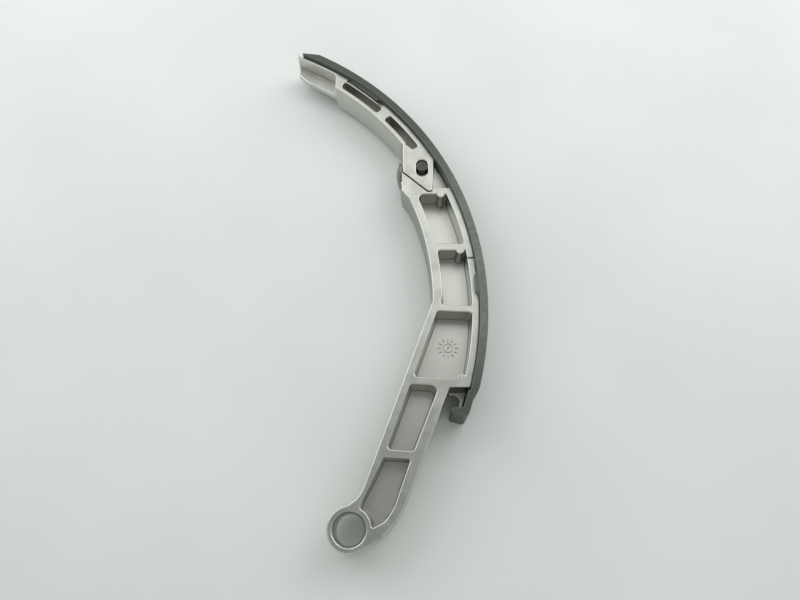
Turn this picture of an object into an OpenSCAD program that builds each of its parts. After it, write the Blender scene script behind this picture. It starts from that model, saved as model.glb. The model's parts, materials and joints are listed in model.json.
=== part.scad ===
// Articulated timing chain guide: two die-cast arms in a fork joint under one slide shoe.
// The origin is on the pivot bore axis, in the part's mid-plane.
// +Z is the bore axis, +Y runs up the rail and the chain runs over the +X side. Sizes are in mm.

/* [Rail arc] */
// Arc centre to pivot, across the rail
arc_dx = 131; // [128:0.5:134]
// Arc centre to pivot, along the rail
arc_dy = 128; // [125:0.5:131]
// Radius of the cast rim under the shoe
rim_r = 203.5; // [202:0.25:205]

/* [Castings] */
// Thickness of both castings
cast_t = 20; // [18:0.5:22]
// Depth of the front pockets
front_depth = 11.5; // [9:0.25:12]
// Web between the front and back pockets
web_t = 4; // [3:0.25:5]
// Corner radius of the pockets
pocket_r = 1.8; // [1:0.1:2.2]
// Radius of the half-round ejector pad in the middle pocket
pad_r = 2.8; // [2:0.1:3.2]
// Radius of the ejector pads in the two upper pockets
small_pad_r = 2.4; // [2:0.1:2.8]
// Radius of the two softer pocket corners
soft_r = 3.4; // [2:0.1:4]
// Radius of the pocket corners beside the small pads
tight_r = 0.9; // [0.5:0.1:1]
// Radius of the bend in the wall of the second pocket
bend_r = 12; // [8:0.5:16]

/* [Lower arm] */
// Width across the curved part
lower_w = 27.3; // [25:0.1:29]
// Rim beside the shoe
rim_w = 4.3; // [3.5:0.1:5.5]
// Rim on the concave side of the top pocket
inner_rim_w = 5.4; // [4:0.1:6.5]
// Rim on the concave side of the pocket below it
mid_rim_w = 6; // [4.5:0.1:7]
// Thickness of the lower cross ribs
rib_t = 4.2; // [3.5:0.1:5]
// Thickness of the top cross rib
rib_4_t = 4.8; // [4:0.1:5.5]
// Fall of the lower ribs towards the shoe
rib_fall = 1; // [0:0.1:1.5]
// Height of the first rib above the pivot
rib_1_y = 37.4; // [35:0.1:40]
// Height of the second rib above the pivot
rib_2_y = 77.1; // [75:0.1:79]
// Height of the third rib above the pivot
rib_3_y = 120.6; // [117:0.1:123]
// Height of the fourth rib above the pivot
rib_4_y = 160.9; // [158:0.1:164]
// Lean of the straight limb
limb_angle = 20; // [18.5:0.25:21.5]
// Extra lean of the limb's shoe side
limb_taper = 2; // [0.5:0.25:3]
// Width of the limb at the pivot
limb_w = 22.7; // [21:0.1:25]
// Rim along the limb on the concave side, and around the heel
limb_rim_w = 4.6; // [3.5:0.1:5.5]
// Rim along the limb on the shoe side
limb_rim_r = 6; // [5:0.1:6.5]
// Radius of the rounded heel
heel_r = 44.5; // [40:0.5:50]
// Diameter of the pivot bore
bore_d = 16; // [14:0.1:17]
// Wall of the pivot eye
eye_wall = 3.5; // [3:0.1:4.5]
// Chamfer at both ends of the pivot bore
bore_chamfer = 1.5; // [0.5:0.1:2]
// Fillet between eye and limb
eye_fillet = 16.3; // [12:0.1:20]

/* [Hinge] */
// Angle of the hinge on the rail arc
hinge_angle = 27.8; // [27:0.1:28.6]
// Hinge axis below the rim
hinge_in = 10; // [9.5:0.1:11]
// Diameter of the hinge pin
pin_d = 7.4; // [6:0.1:8]
// Recess of the pin ends
pin_recess = 1; // [0.5:0.25:3.5]
// Radial clearance of the pin in the fork
pin_play = 0.08; // [0.05:0.01:0.1]
// Travel of the slotted holes
hole_travel = 5; // [4:0.25:6]
// Pin axis above the middle of the slotted holes
pin_lift = 2; // [0:0.1:2]
// Thickness of the tongue
tongue_t = 10; // [8:0.25:11]
// Side clearance of the fork
fork_play = 0.3; // [0.15:0.05:0.5]
// Hinge axis to the lug's slanted edge
lug_drop = 10.3; // [9.8:0.1:10.8]
// Hinge axis to the centre of the lug's corner
lug_reach = 4.5; // [4:0.1:5]
// Corner radius of the lug
lug_r = 2; // [1.5:0.1:2.5]
// Seam between lug and shoulder
seam_gap = 0.8; // [0.75:0.05:1.4]
// Gap between the lug's corner and the ridge
corner_gap = 0.25; // [0.2:0.05:0.7]
// Ridge beside the lug's corner
ridge_t = 4.8; // [3.5:0.1:5]
// Hinge axis to the seat of the thrust button
seat_reach = 13; // [12.5:0.1:13.5]

/* [Upper arm] */
// Width across the arm
upper_w = 11.1; // [10:0.1:13]
// Outer rim of the slots
upper_rim_w = 3.4; // [2.5:0.1:4]
// Inner rim of the slots
upper_inner_w = 2.6; // [2:0.1:3]
// Angle of the tip on the rail arc
tip_angle = 65.3; // [64.6:0.1:67]
// Outer flange of the tip channel
tip_flange = 2; // [1.5:0.1:3]
// Depth of the tip channel
tip_depth = 9.6; // [8:0.1:11]
// Thickness of the cross wall
wall_t = 5.3; // [4:0.1:7]
// Bridge between the two slots
bridge_w = 8; // [6:0.25:10]

/* [Slide shoe] */
// Width along the pivot axis
shoe_w = 26; // [24:0.5:30]
// Thickness
shoe_t = 4.6; // [3.5:0.1:6]
// Gap to the rim
shoe_gap = 0.1; // [0.05:0.05:0.3]
// Angle of the lead-in bevel
bevel_angle = 61.1; // [59:0.1:62]
// Thickness left at the tip
lip_t = 0.6; // [0.4:0.1:1.5]
// Depth of the clip seats in the rims
clip_depth = 1.3; // [0.8:0.1:2]
// Thickness of the clips
clip_t = 2.2; // [1.4:0.1:2.4]
// Reach of the clips over the rims
clip_reach = 2; // [1.2:0.1:2.2]
// Outer step at the tail
tail_step = 1.8; // [1:0.1:2.5]
// Outer radius of the tail hook
hook_r = 2.2; // [2:0.1:3.6]
// Reach of the hook under the finger
hook_reach = 6.3; // [5:0.1:7]

/* [Thrust button] */
// Diameter of the head
head_d = 17; // [14:0.25:18]
// Height of the head
head_h = 3.5; // [2.5:0.1:4]
// Edge height under the dome
head_edge = 1.4; // [0.8:0.1:2]
// Diameter of the shank
shank_d = 6; // [5:0.1:6.5]
// Clearance behind the head for the swing of the fork
head_gap = 0.6; // [0.5:0.05:1]

/* [Hidden] */
$fn = 96;
smooth = 360;
steps = 8;
rungs = 5;
press = 0.01;
far = 400;
// Depth by which united shapes enter each other
lap = 1;

// Levels: the shoe stands proud of the castings by the same amount on both sides
cast_top = cast_t / 2;
cast_z = -cast_top;
floor_z = cast_top - front_depth;
web_z = floor_z - web_t;
tongue_top = tongue_t / 2;

// Radii about the arc centre
arc_c = [-arc_dx, arc_dy];
lower_r = rim_r - lower_w;
upper_r = rim_r - upper_w;
shoe_in = rim_r + shoe_gap;
shoe_out = shoe_in + shoe_t;
tail_out = shoe_out - tail_step;
tail_in = shoe_in - lap;
finger_gap = 0.3;
finger_t = 2.8;
finger_fillet = 3.4;
finger_out = tail_in - finger_gap;
finger_in = finger_out - finger_t;
slot_in = upper_r + upper_inner_w;
slot_out = rim_r - upper_rim_w;

// Limb edges: each is a line at a distance from the pivot axis
bore_r = bore_d / 2;
eye_r = bore_r + eye_wall;
left_off = 0.5;
right_off = left_off - limb_w;
lean_l = limb_angle;
lean_r = limb_angle + limb_taper;
ledge_drop = 1.6;
ledge_y = rib_2_y - rib_t / 2 - ledge_drop;
ledge_angle = asin((ledge_y - arc_dy) / rim_r);
join_s = line_hit(left_off, lean_l, lower_r);
join = on_line(left_off, lean_l, join_s);
limb_top = on_line(left_off, lean_l, join_s + 3 * lap);
heel_s = 24;
heel_c = on_line(right_off + heel_r, lean_r, heel_s);
heel_end = eye_r * turn(-66) - heel_c;
fillet_s = sqrt(pow(eye_fillet + eye_r - lap / 10, 2) - pow(left_off + eye_fillet, 2));
fillet_c = on_line(left_off + eye_fillet, lean_l, fillet_s);
fillet_angle = atan2(-fillet_c.y, -fillet_c.x);

// Hinge: the lug's slanted edge and rounded corner, and the shoulder around them
hinge = on_arc(rim_r - hinge_in, hinge_angle);
seam_angle = 47.4;
seam_n = turn(seam_angle);
lug_c = [hinge.x + lug_reach, seam_y(hinge.x + lug_reach, lug_drop - lug_r)];
seat_shift = (seam_gap - corner_gap) / (1 + seam_n.x + seam_n.y);
seat_c = lug_c - [seat_shift, seat_shift];
seat_r = lug_r + corner_gap + seat_shift;
ridge_y = lug_c.y + lug_r / 5;
seat_x = hinge.x - seat_reach;
lug_x = seat_x + head_gap;
throat_angle = 21.8;
knuckle_gap = 0.5;
knuckle_r = hinge_in + knuckle_gap;
fork_depth = 7.5;
pin_r = pin_d / 2;
pin_c = hinge + [0, pin_lift];
hole_r = pin_r + pin_play;
pin_wall = 3;
shank_room = 0.3;

// Upper arm along the arc
tip_x = on_arc(rim_r, tip_angle).x;
tip_cut = 3;
wall_x = on_arc(rim_r, 56.5).x;
split_angle = 42.5;
split_half_angle = bridge_w / rim_r * 90 / PI;
slot_end_angle = 32.4;

// Clip seats along the arc
clip_1 = [-0.4, 7.4];
clip_2 = [44.1, 53.2];
clip_play = 0.5;
lip_angle = 64.2;

// The tail and the finger under the ledge go by the ledge's own angle
tail_angle = ledge_angle;
lap_angle = ledge_angle - 0.64;
finger_angle = ledge_angle - 2.84;
hook_angle = ledge_angle - 3.54;
tail_root = shoe_in + 0.3 * lap;
hook_t = 1.26 * (tail_out - tail_in);
toe_t = 0.55 * hook_t;

function turn(a) = [cos(a), sin(a)];
function on_arc(r, a) = arc_c + r * turn(a);
function across(r, y) = [arc_c.x + sqrt(r * r - pow(y - arc_c.y, 2)), y];
function angle_at_x(r, x) = acos((x - arc_c.x) / r);
function arc_points(c, r, a0, a1, n = steps) = [for (i = [0 : n]) c + r * turn(a0 + (a1 - a0) * i / n)];

// A leaning line at a distance from the pivot axis, to the left when positive
function on_line(off, lean, s) = off * turn(90 + 90 - lean) + s * turn(90 - lean);
function line_at_y(off, lean, y) = on_line(off, lean, (y - off * sin(lean)) / cos(lean));
function line_hit(off, lean, r) =
    let (p = on_line(off, lean, 0) - arc_c, b = p * turn(90 - lean))
    -b + sqrt(b * b - p * p + r * r);
function seam_y(x, d) = hinge.y - (d + seam_n.x * (x - hinge.x)) / seam_n.y;

// Round every corner of an outline, some with a radius of their own, and keep the points of smooth stretches
function unit(v) = v / norm(v);
function corner(p, q, s, r) =
    let (u = unit(p - q), v = unit(s - q), half = acos(u * v) / 2)
    half > 85 ? [q] :
    let (
        c = q + unit(u + v) * r / sin(half),
        e0 = q + u * r / tan(half) - c,
        e1 = q + v * r / tan(half) - c,
        a0 = atan2(e0.y, e0.x),
        sweep = (atan2(e1.y, e1.x) - a0 + 540) % 360 - 180
    )
    [for (i = [0 : 5]) c + r * turn(a0 + sweep * i / 5)];
function own_r(i, r, odd) =
    let (own = [for (o = odd) if (o[0] == i) o[1]])
    len(own) > 0 ? own[0] : r;
function rounded(pts, r, odd = []) =
    let (n = len(pts))
    [for (i = [0 : n - 1])
        each corner(pts[(i + n - 1) % n], pts[i], pts[(i + 1) % n], own_r(i, r, odd))];

// Stretch of an arc between two heights, from the first to the second
function rise(r, y0, y1) = [for (i = [0 : rungs]) across(r, y0 + (y1 - y0) * i / rungs)];

module slab(z0, z1) {
    translate([0, 0, z0])
        linear_extrude(z1 - z0)
            children();
}

module disc(r) {
    translate(arc_c)
        circle(r, $fn = smooth);
}

module band(r0, r1, a0, a1) {
    intersection() {
        difference() {
            disc(r1);
            disc(r0);
        }
        polygon([arc_c, on_arc(2 * r1, a0), on_arc(2 * r1, a1)]);
    }
}

// Lower arm

module limb_outline() {
    intersection() {
        disc(rim_r);
        polygon(concat(
            [limb_top],
            arc_points(fillet_c, eye_fillet, -lean_l, fillet_angle),
            [[0, 0]],
            arc_points(heel_c, heel_r, atan2(heel_end.y, heel_end.x), -lean_r),
            [line_at_y(right_off, lean_r, ledge_y), [far, ledge_y], [far, limb_top.y]]
        ));
    }
    circle(eye_r);
}

module shoulder_outline() {
    intersection() {
        disc(rim_r);
        polygon([
            [seat_x, hinge.y],
            [seat_x, ridge_y - 0.4 * ridge_t],
            on_arc(lower_r + lap, throat_angle - 0.5),
            on_arc(lower_r + 0.44 * lower_w, throat_angle - 2),
            [lug_c.x + 4 * lug_r, ridge_y - lap],
            [lug_c.x + 4 * lug_r, hinge.y]
        ]);
    }
}

// Space of the lug with the seam around it
module shoulder_cut() {
    x0 = seat_x - 2 * hinge_in;
    polygon(concat(
        [[x0, seam_y(x0, lug_drop + seam_gap)]],
        arc_points(seat_c, seat_r, seam_angle + 180, 360, 6),
        [[seat_c.x + seat_r, ridge_y], [far, ridge_y], [far, far], [x0, far]]
    ));
}

module lower_outline() {
    limb_outline();
    difference() {
        union() {
            band(lower_r, rim_r, atan2(join.y - arc_dy, join.x + arc_dx) - 0.2, throat_angle + 5);
            shoulder_outline();
        }
        shoulder_cut();
    }
}

module tongue_outline() {
    intersection() {
        disc(rim_r);
        union() {
            translate(hinge)
                circle(knuckle_r);
            polygon([
                [seat_x, seam_y(seat_x, lug_drop + seam_gap + lap)],
                [seat_x, hinge.y + hinge_in / 2],
                [hinge.x, hinge.y + hinge_in / 2],
                hinge,
                [far, hinge.y],
                [far, ridge_y - lap],
                [lug_c.x, seat_c.y - seat_r - lap]
            ]);
        }
    }
}

// Web-level nose under the ledge, and the finger that the shoe's hook reaches around
module nose_outline() {
    left = line_at_y(right_off, lean_r, ledge_y).x;
    low = ledge_y - ledge_drop;
    root = [left + lap / 2, low];
    toe_in = on_arc(finger_in + finger_t / 6, finger_angle);
    toe_out = on_arc(finger_out, finger_angle);
    neck = across(finger_in, low);
    top = across(finger_out, ledge_y + 3 * lap);
    polygon(concat(
        [[left - 2 * lap, ledge_y + 3 * lap], root],
        corner(root, neck, toe_in, finger_fillet),
        corner(neck, toe_in, toe_out, finger_t / 3),
        corner(toe_in, toe_out, across(finger_out, low), finger_t / 3),
        arc_points(arc_c, finger_out, finger_angle + 0.5, ledge_angle, 4),
        [top]
    ));
}

module pad(at, r = pad_r) {
    translate(at)
        circle(r, $fn = 32);
}

module lower_pockets() {
    half = rib_t / 2;
    half_4 = rib_4_t / 2;
    fall = rib_fall / 2;
    r0 = lower_r + inner_rim_w;
    r1 = rim_r - rim_w;
    mid_r = lower_r + mid_rim_w;
    in_l = left_off - limb_rim_w;
    in_r = right_off + limb_rim_r;
    top_y = ridge_y - ridge_t;
    bend = on_line(in_l, lean_l, line_hit(in_l, lean_l, mid_r));
    difference() {
        polygon(rounded(concat(
            rise(r0, rib_4_y + half_4 + fall / 2, top_y),
            rise(r1, top_y, rib_4_y + half_4 - fall / 2)
        ), pocket_r, [[rungs, soft_r], [rungs + 1, tight_r]]));
        pad(across(r1 - 1.4 * small_pad_r, top_y), small_pad_r);
    }
    difference() {
        polygon(rounded(concat(
            [line_at_y(in_l, lean_l, rib_3_y + half + fall)],
            rise(mid_r, bend.y, rib_4_y - half_4),
            rise(r1, rib_4_y - half_4, rib_3_y + half - fall)
        ), pocket_r, [[1, bend_r], [rungs + 2, tight_r]]));
        pad(across(r1 - 1.4 * small_pad_r, rib_4_y - half_4), small_pad_r);
    }
    difference() {
        polygon(rounded(concat(
            [line_at_y(in_l, lean_l, rib_2_y + half + fall), line_at_y(in_l, lean_l, rib_3_y - half + fall)],
            rise(r1, rib_3_y - half - fall, rib_2_y + half - fall)
        ), pocket_r));
        pad(across(r1 - 0.6 * pad_r, rib_2_y + half - fall));
    }
    polygon(rounded([
        line_at_y(in_l, lean_l, rib_1_y + half + fall),
        line_at_y(in_l, lean_l, rib_2_y - half + fall),
        line_at_y(in_r, lean_r, rib_2_y - half - fall),
        line_at_y(in_r, lean_r, rib_1_y + half - fall)
    ], pocket_r, [[2, soft_r]]));
    polygon(rounded(concat(
        [line_at_y(left_off - 0.4 * limb_rim_w, lean_l, eye_r + 0.7 * eye_wall)],
        [line_at_y(in_l, lean_l, rib_1_y - half + fall), line_at_y(in_r, lean_r, rib_1_y - half - fall)],
        arc_points(heel_c, heel_r - limb_rim_w, -lean_r - 8, -43),
        arc_points([0, 0], eye_r, 2, 62)
    ), pocket_r / 2));
}

module lower_arm() {
    color([0.74, 0.75, 0.73])
    difference() {
        union() {
            slab(cast_z, cast_top)
                lower_outline();
            slab(-tongue_top, tongue_top)
                tongue_outline();
            slab(web_z, floor_z)
                nose_outline();
        }
        slab(floor_z, cast_top + 1)
            lower_pockets();
        slab(cast_z - 1, web_z)
            lower_pockets();
        slab(cast_top - clip_depth, cast_top + 1)
            band(rim_r - rim_w - lap, rim_r + shoe_t, clip_1[0], clip_1[1]);
        slab(cast_z - 1, cast_z + clip_depth)
            band(rim_r - rim_w - lap, rim_r + shoe_t, clip_1[0], clip_1[1]);
        cylinder(r = bore_r, h = cast_t + 2, center = true);
        translate([0, 0, cast_top - bore_chamfer])
            cylinder(r1 = bore_r, r2 = bore_r + bore_chamfer, h = bore_chamfer);
        translate([0, 0, cast_z])
            cylinder(r1 = bore_r + bore_chamfer, r2 = bore_r, h = bore_chamfer);
        translate(pin_c)
            cylinder(r = pin_r + press, h = cast_t + 2, center = true);
        translate([seat_x - lap, hinge.y, 0])
            rotate([0, 90, 0])
                cylinder(r = shank_d / 2 + press, h = shank_len() + lap + shank_room);
    }
}

function shank_len() = seat_reach - pin_r - pin_wall;

// Upper arm

module lug_outline() {
    top = on_arc((upper_r + rim_r) / 2, hinge_angle + 3);
    polygon(concat(
        [[lug_x, arc_c.y + sqrt(pow(upper_r + lap, 2) - pow(lug_x - arc_c.x, 2))]],
        [[lug_x, seam_y(lug_x, lug_drop)]],
        arc_points(lug_c, lug_r, seam_angle + 180, 360, 6),
        [hinge + 0.8 * hinge_in * [1, 1], top]
    ));
}

module upper_outline() {
    corner_y = arc_c.y + sqrt(pow(upper_r, 2) - pow(tip_x - arc_c.x, 2));
    difference() {
        union() {
            band(upper_r, rim_r, hinge_angle + 1, tip_angle + 4);
            intersection() {
                disc(rim_r);
                lug_outline();
            }
        }
        polygon([
            [tip_x, far],
            [tip_x, corner_y + tip_cut],
            [tip_x + upper_w, corner_y + tip_cut - upper_w],
            [-far, corner_y + tip_cut - upper_w],
            [-far, far]
        ]);
    }
}

module upper_slots() {
    x0 = wall_x + wall_t;
    a0 = split_angle + split_half_angle;
    a1 = split_angle - split_half_angle;
    polygon(rounded(concat(
        arc_points(arc_c, slot_in, a0, angle_at_x(slot_in, x0)),
        arc_points(arc_c, slot_out, angle_at_x(slot_out, x0), a0)
    ), pocket_r));
    polygon(rounded(concat(
        arc_points(arc_c, slot_in, slot_end_angle, a1),
        arc_points(arc_c, slot_out, a1, slot_end_angle)
    ), pocket_r));
    polygon([on_arc(slot_in + lap, 35), on_arc(slot_in - lap, 33.9), on_arc(slot_in + lap, 33)]);
}

module tip_channel() {
    r = rim_r - tip_flange;
    polygon(rounded(concat(
        arc_points(arc_c, r, angle_at_x(r, wall_x), tip_angle + 6),
        [[tip_x - upper_w, arc_c.y + upper_r / 2], [wall_x, arc_c.y + upper_r / 2]]
    ), pocket_r));
}

// Space between the two cheeks for the tongue
module fork_outline() {
    translate(hinge)
        circle(knuckle_r + knuckle_gap);
    polygon([[-far, -far], [far, -far], [far, hinge.y + fork_depth], [-far, hinge.y + fork_depth]]);
}

module slotted_hole() {
    reach = hole_travel / 2;
    polygon(concat(
        arc_points(hinge + [0, reach], hole_r, 0, 180, 16),
        arc_points(hinge - [0, reach], hole_r, 180, 360, 16)
    ));
}

module upper_arm() {
    color([0.76, 0.77, 0.75])
    difference() {
        slab(cast_z, cast_top)
            upper_outline();
        slab(-tongue_top - fork_play, tongue_top + fork_play)
            fork_outline();
        slab(cast_z - 1, cast_top + 1)
            slotted_hole();
        slab(floor_z, cast_top + 1)
            upper_slots();
        slab(cast_z - 1, web_z)
            upper_slots();
        slab(cast_top - tip_depth, cast_top + 1)
            tip_channel();
        slab(cast_z - 1, cast_top - tip_depth - web_t)
            tip_channel();
        slab(cast_top - clip_depth, cast_top + 1)
            band(rim_r - clip_reach - clip_play, rim_r + shoe_t, clip_2[0], clip_2[1]);
        slab(cast_z - 1, cast_z + clip_depth)
            band(rim_r - clip_reach - clip_play, rim_r + shoe_t, clip_2[0], clip_2[1]);
    }
}

// Slide shoe

module strip_outline() {
    kink = on_arc(shoe_out, bevel_angle);
    lip = on_arc(shoe_in + lip_t, lip_angle);
    along = unit(kink - lip);
    difference() {
        band(shoe_in, shoe_out, tail_angle, lip_angle);
        polygon([
            lip - shoe_w * along,
            kink + shoe_w * along,
            kink + shoe_w * [1, 2],
            lip + shoe_w * [-1, 2]
        ]);
    }
}

// Tail behind the ledge, and the leg that turns in under the finger
module hook_outline() {
    inner = on_arc(tail_in, hook_angle);
    end_x = inner.x - hook_reach;
    heel = across(tail_out, inner.y - hook_t);
    toe = [end_x, inner.y - toe_t];
    tip = [end_x, inner.y];
    polygon(concat(
        arc_points(arc_c, tail_out, tail_angle + 0.5, hook_angle + 0.6, 6),
        corner(on_arc(tail_out, hook_angle), heel, toe, hook_r),
        corner(heel, toe, tip, 0.45 * toe_t),
        corner(toe, tip, inner, 0.45 * toe_t),
        arc_points(arc_c, tail_in, hook_angle, lap_angle, 5),
        arc_points(arc_c, tail_root, lap_angle, tail_angle + 0.5, 2)
    ));
}

module clip_outline(seat, root) {
    r = rim_r - clip_reach;
    polygon(concat(
        [on_arc(shoe_in + lap, root[0]), on_arc(shoe_in, root[0])],
        arc_points(arc_c, r, root[0] + 0.6, root[1] - seat, 5),
        [on_arc(shoe_in, root[1]), on_arc(shoe_in + lap, root[1])]
    ));
}

module clips() {
    clip_outline(0.6, [0.3, 4.5]);
    clip_outline(2.9, [45.1, 52.9]);
}

module slide_shoe() {
    clip_z = cast_top - clip_depth + shoe_gap;
    color([0.33, 0.35, 0.33])
    union() {
        slab(-shoe_w / 2, shoe_w / 2) {
            strip_outline();
            hook_outline();
        }
        slab(clip_z, clip_z + clip_t)
            clips();
        slab(-clip_z - clip_t, -clip_z)
            clips();
    }
}

// Hinge pin and thrust button

module hinge_pin() {
    color([0.42, 0.43, 0.42])
    translate(pin_c)
        cylinder(r = pin_r, h = cast_t - 2 * pin_recess, center = true);
}

module thrust_button() {
    head_r = head_d / 2;
    rise_h = head_h - head_edge;
    dome_r = (head_r * head_r + rise_h * rise_h) / (2 * rise_h);
    color([0.42, 0.43, 0.42])
    translate([seat_x, hinge.y, 0])
        rotate([0, -90, 0])
            union() {
                intersection() {
                    cylinder(r = head_r, h = head_h + lap);
                    translate([0, 0, head_h - dome_r])
                        sphere(dome_r, $fn = smooth);
                }
                translate([0, 0, -shank_len()])
                    cylinder(r = shank_d / 2, h = shank_len() + lap / 2);
            }
}

lower_arm();
upper_arm();
slide_shoe();
hinge_pin();
thrust_button();
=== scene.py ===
"""Looks of an articulated timing chain guide.

Two cast arms, a slide shoe, a hinge pin and a thrust button, with a dial and ejector pin marks.
"""

import json
import logging
import math
from dataclasses import dataclass, field, replace
from enum import Enum

import bmesh
import bpy
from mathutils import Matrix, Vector
from mathutils.bvhtree import BVHTree


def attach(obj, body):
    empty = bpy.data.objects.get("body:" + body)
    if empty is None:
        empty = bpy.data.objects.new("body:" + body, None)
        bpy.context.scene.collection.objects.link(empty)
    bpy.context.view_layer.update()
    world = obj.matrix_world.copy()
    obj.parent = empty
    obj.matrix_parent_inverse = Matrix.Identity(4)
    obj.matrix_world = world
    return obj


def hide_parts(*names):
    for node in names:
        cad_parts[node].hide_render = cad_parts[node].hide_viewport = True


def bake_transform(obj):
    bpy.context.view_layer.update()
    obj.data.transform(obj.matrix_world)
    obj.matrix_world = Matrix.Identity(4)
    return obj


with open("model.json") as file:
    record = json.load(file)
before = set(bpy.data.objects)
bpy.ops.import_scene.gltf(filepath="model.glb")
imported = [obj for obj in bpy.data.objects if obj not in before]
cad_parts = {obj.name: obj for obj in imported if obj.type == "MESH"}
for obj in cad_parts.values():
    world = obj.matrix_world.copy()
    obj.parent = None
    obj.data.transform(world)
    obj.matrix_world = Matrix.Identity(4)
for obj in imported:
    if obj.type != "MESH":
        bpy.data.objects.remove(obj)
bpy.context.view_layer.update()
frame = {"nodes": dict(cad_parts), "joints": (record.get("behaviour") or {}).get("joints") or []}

LOG = logging.getLogger("chain_guide")
MM = 0.001

# Heights of the castings: the middle of the web, the floors of the front pockets and the front face
WEB_MM = -3.5
FLOOR_MM = -1.5
FACE_MM = 10.0

# Vertices nearer than this are welded, and faces that turn less than this become one
WELD_MM = 0.002
FLAT_DEG = 0.3
# Vertices nearer than this to a cutting plane lie on it, in metres
ON_PLANE = 1e-7

# Where the room beside an edge is measured, as shares of its length
ROOM_AT = (0.1, 0.5, 0.9)
# A round takes less than half of that room, so that the round across from it fits too
ROOM_SHARE = 0.45
# In a corner a round stays below the width at which its edge would vanish
CORNER_SHARE = 0.8
# Edges whose direction has a smaller part along Z count as level
LEVEL_PART = 0.5
# The material slot that tells new rounds from other faces until they are marked
ROUND_SLOT = 1
# How strongly large faces keep their own normals
FLAT_WEIGHT = 80

# Most values of a noise texture lie between these
NOISE_SPREAD = (0.3, 0.7)
# Colour sockets of a Mix node, whose names A, B and Result stand for other kinds of data too
MIX_BASE = 6
MIX_OVER = 7
MIX_RESULT = 2
# The mesh attribute of walls that face another wall
INNER_WALL = "inner_wall"

# A place in metres, and the stops of a colour ramp: position and sRGB hex colour of each
Place = tuple[float, float, float]
Steps = tuple[tuple[float, str], ...]


class Body(Enum):
    """The moving bodies of the guide."""

    LOWER = "lower"
    UPPER = "upper"


class Bend(Enum):
    """Which way an edge turns, as the sign of the angle between its faces."""

    OUTWARD = 1
    INWARD = -1

    def mark(self) -> str:
        """Give the name of the mesh attribute that marks such rounds."""
        return "outer_round" if self is Bend.OUTWARD else "inner_round"


class Slot(Enum):
    """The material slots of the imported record."""

    ALUMINIUM = "cast_aluminium"
    NYLON = "moulded_nylon"
    STEEL = "dark_steel"


@dataclass(frozen=True)
class Cut:
    """An upright plane through a piece, by a point and the direction of its normal."""

    x_mm: float
    y_mm: float
    turn_deg: float = 90.0

    def point(self) -> Vector:
        """Give a point of the plane, in metres."""
        return Vector((self.x_mm, self.y_mm, 0.0)) * MM

    def normal(self) -> Vector:
        """Give the normal of the plane."""
        turn = math.radians(self.turn_deg)
        return Vector((math.cos(turn), math.sin(turn), 0.0))


# The centre of the rail's arc
RAIL_CENTRE_MM = (-131.0, 128.0)
# Planes through the middle of the pivot bore, of each pocket and of each slot
LOWER_CUTS = (
    Cut(0.0, 0.0, 69.0),
    Cut(17.0, 24.0, 69.0),
    Cut(31.0, 57.0, 69.5),
    Cut(50.0, 99.0, 76.0),
    Cut(*RAIL_CENTRE_MM, 93.9),
    Cut(*RAIL_CENTRE_MM, 106.2),
)
UPPER_CUTS = (
    Cut(*RAIL_CENTRE_MM, 138.8),
    Cut(*RAIL_CENTRE_MM, 126.3),
)


@dataclass(frozen=True)
class Round:
    """How the edges that turn one way are rounded.

    Attributes:
        bend: Outer edges or inner corners.
        width_mm: How far the round reaches onto each face, where there is room.
        segments: Number of faces across the round.
        least_deg: Edges that turn less than this stay as they are.
        upright: Whether edges along the pivot axis are rounded too.
        back_share: Share of the width that edges behind the web get.
    """

    bend: Bend
    width_mm: float
    segments: int = 2
    least_deg: float = 24.0
    upright: bool = True
    back_share: float = 1.0


@dataclass(frozen=True)
class Draft:
    """How the walls of the deep pockets lean, as the die needs.

    Attributes:
        lean_mm: How far the foot of a wall moves in, where there is room.
        foot_mm: Height above the floor below which a wall is its foot.
        near_mm: Heights that differ by less than this count as one.
        least_side: Feet face sideways by more than this part.
        look_mm: Height at which the room in front of a wall is measured.
        ahead_mm: How far in front of the wall that starts.
        room_share: Share of the room that a foot may take.
        fold_share: An edge folds over when less than this share of its length is left.
        corner_mm: How far from such an edge feet move less.
        corner_share: Share of the move that they keep.
    """

    lean_mm: float = 0.7
    foot_mm: float = 1.5
    near_mm: float = 0.1
    least_side: float = 0.05
    look_mm: float = 4.0
    ahead_mm: float = 1.0
    room_share: float = 0.1
    fold_share: float = 0.3
    corner_mm: float = 1.2
    corner_share: float = 0.3


def hinge_place() -> Vector:
    """Give a point of the hinge axis, in metres."""
    return Vector(frame["joints"][0]["pos_m"])


def linear(code: str) -> tuple[float, float, float, float]:
    """Turn an sRGB hex colour into linear light.

    Args:
        code: The colour, such as "#c0c2bb".

    Returns:
        Red, green and blue in linear light, and full alpha.
    """
    parts = [int(code[i:i + 2], 16) / 255 for i in (1, 3, 5)]
    # The curve of the sRGB standard
    light = [c / 12.92 if c <= 0.04045 else ((c + 0.055) / 1.055) ** 2.4 for c in parts]
    return light[0], light[1], light[2], 1.0


def add_node(
    tree: bpy.types.NodeTree,
    kind: str,
    settings: dict[str | int, object] | None = None,
    links: dict[str | int, bpy.types.NodeSocket] | None = None,
) -> bpy.types.Node:
    """Add a node with its settings and links.

    Args:
        tree: The node tree that gets the node.
        kind: Blender's name of the node type.
        settings: Values by the name of a property, or by the name or number of an input socket.
        links: Source sockets by the name or number of the input socket.

    Returns:
        The new node.
    """
    node = tree.nodes.new(kind)
    for key, value in (settings or {}).items():
        if isinstance(key, int) or key in node.inputs:
            node.inputs[key].default_value = value
        else:
            setattr(node, key, value)
    for key, source in (links or {}).items():
        tree.links.new(source, node.inputs[key])
    return node


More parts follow.
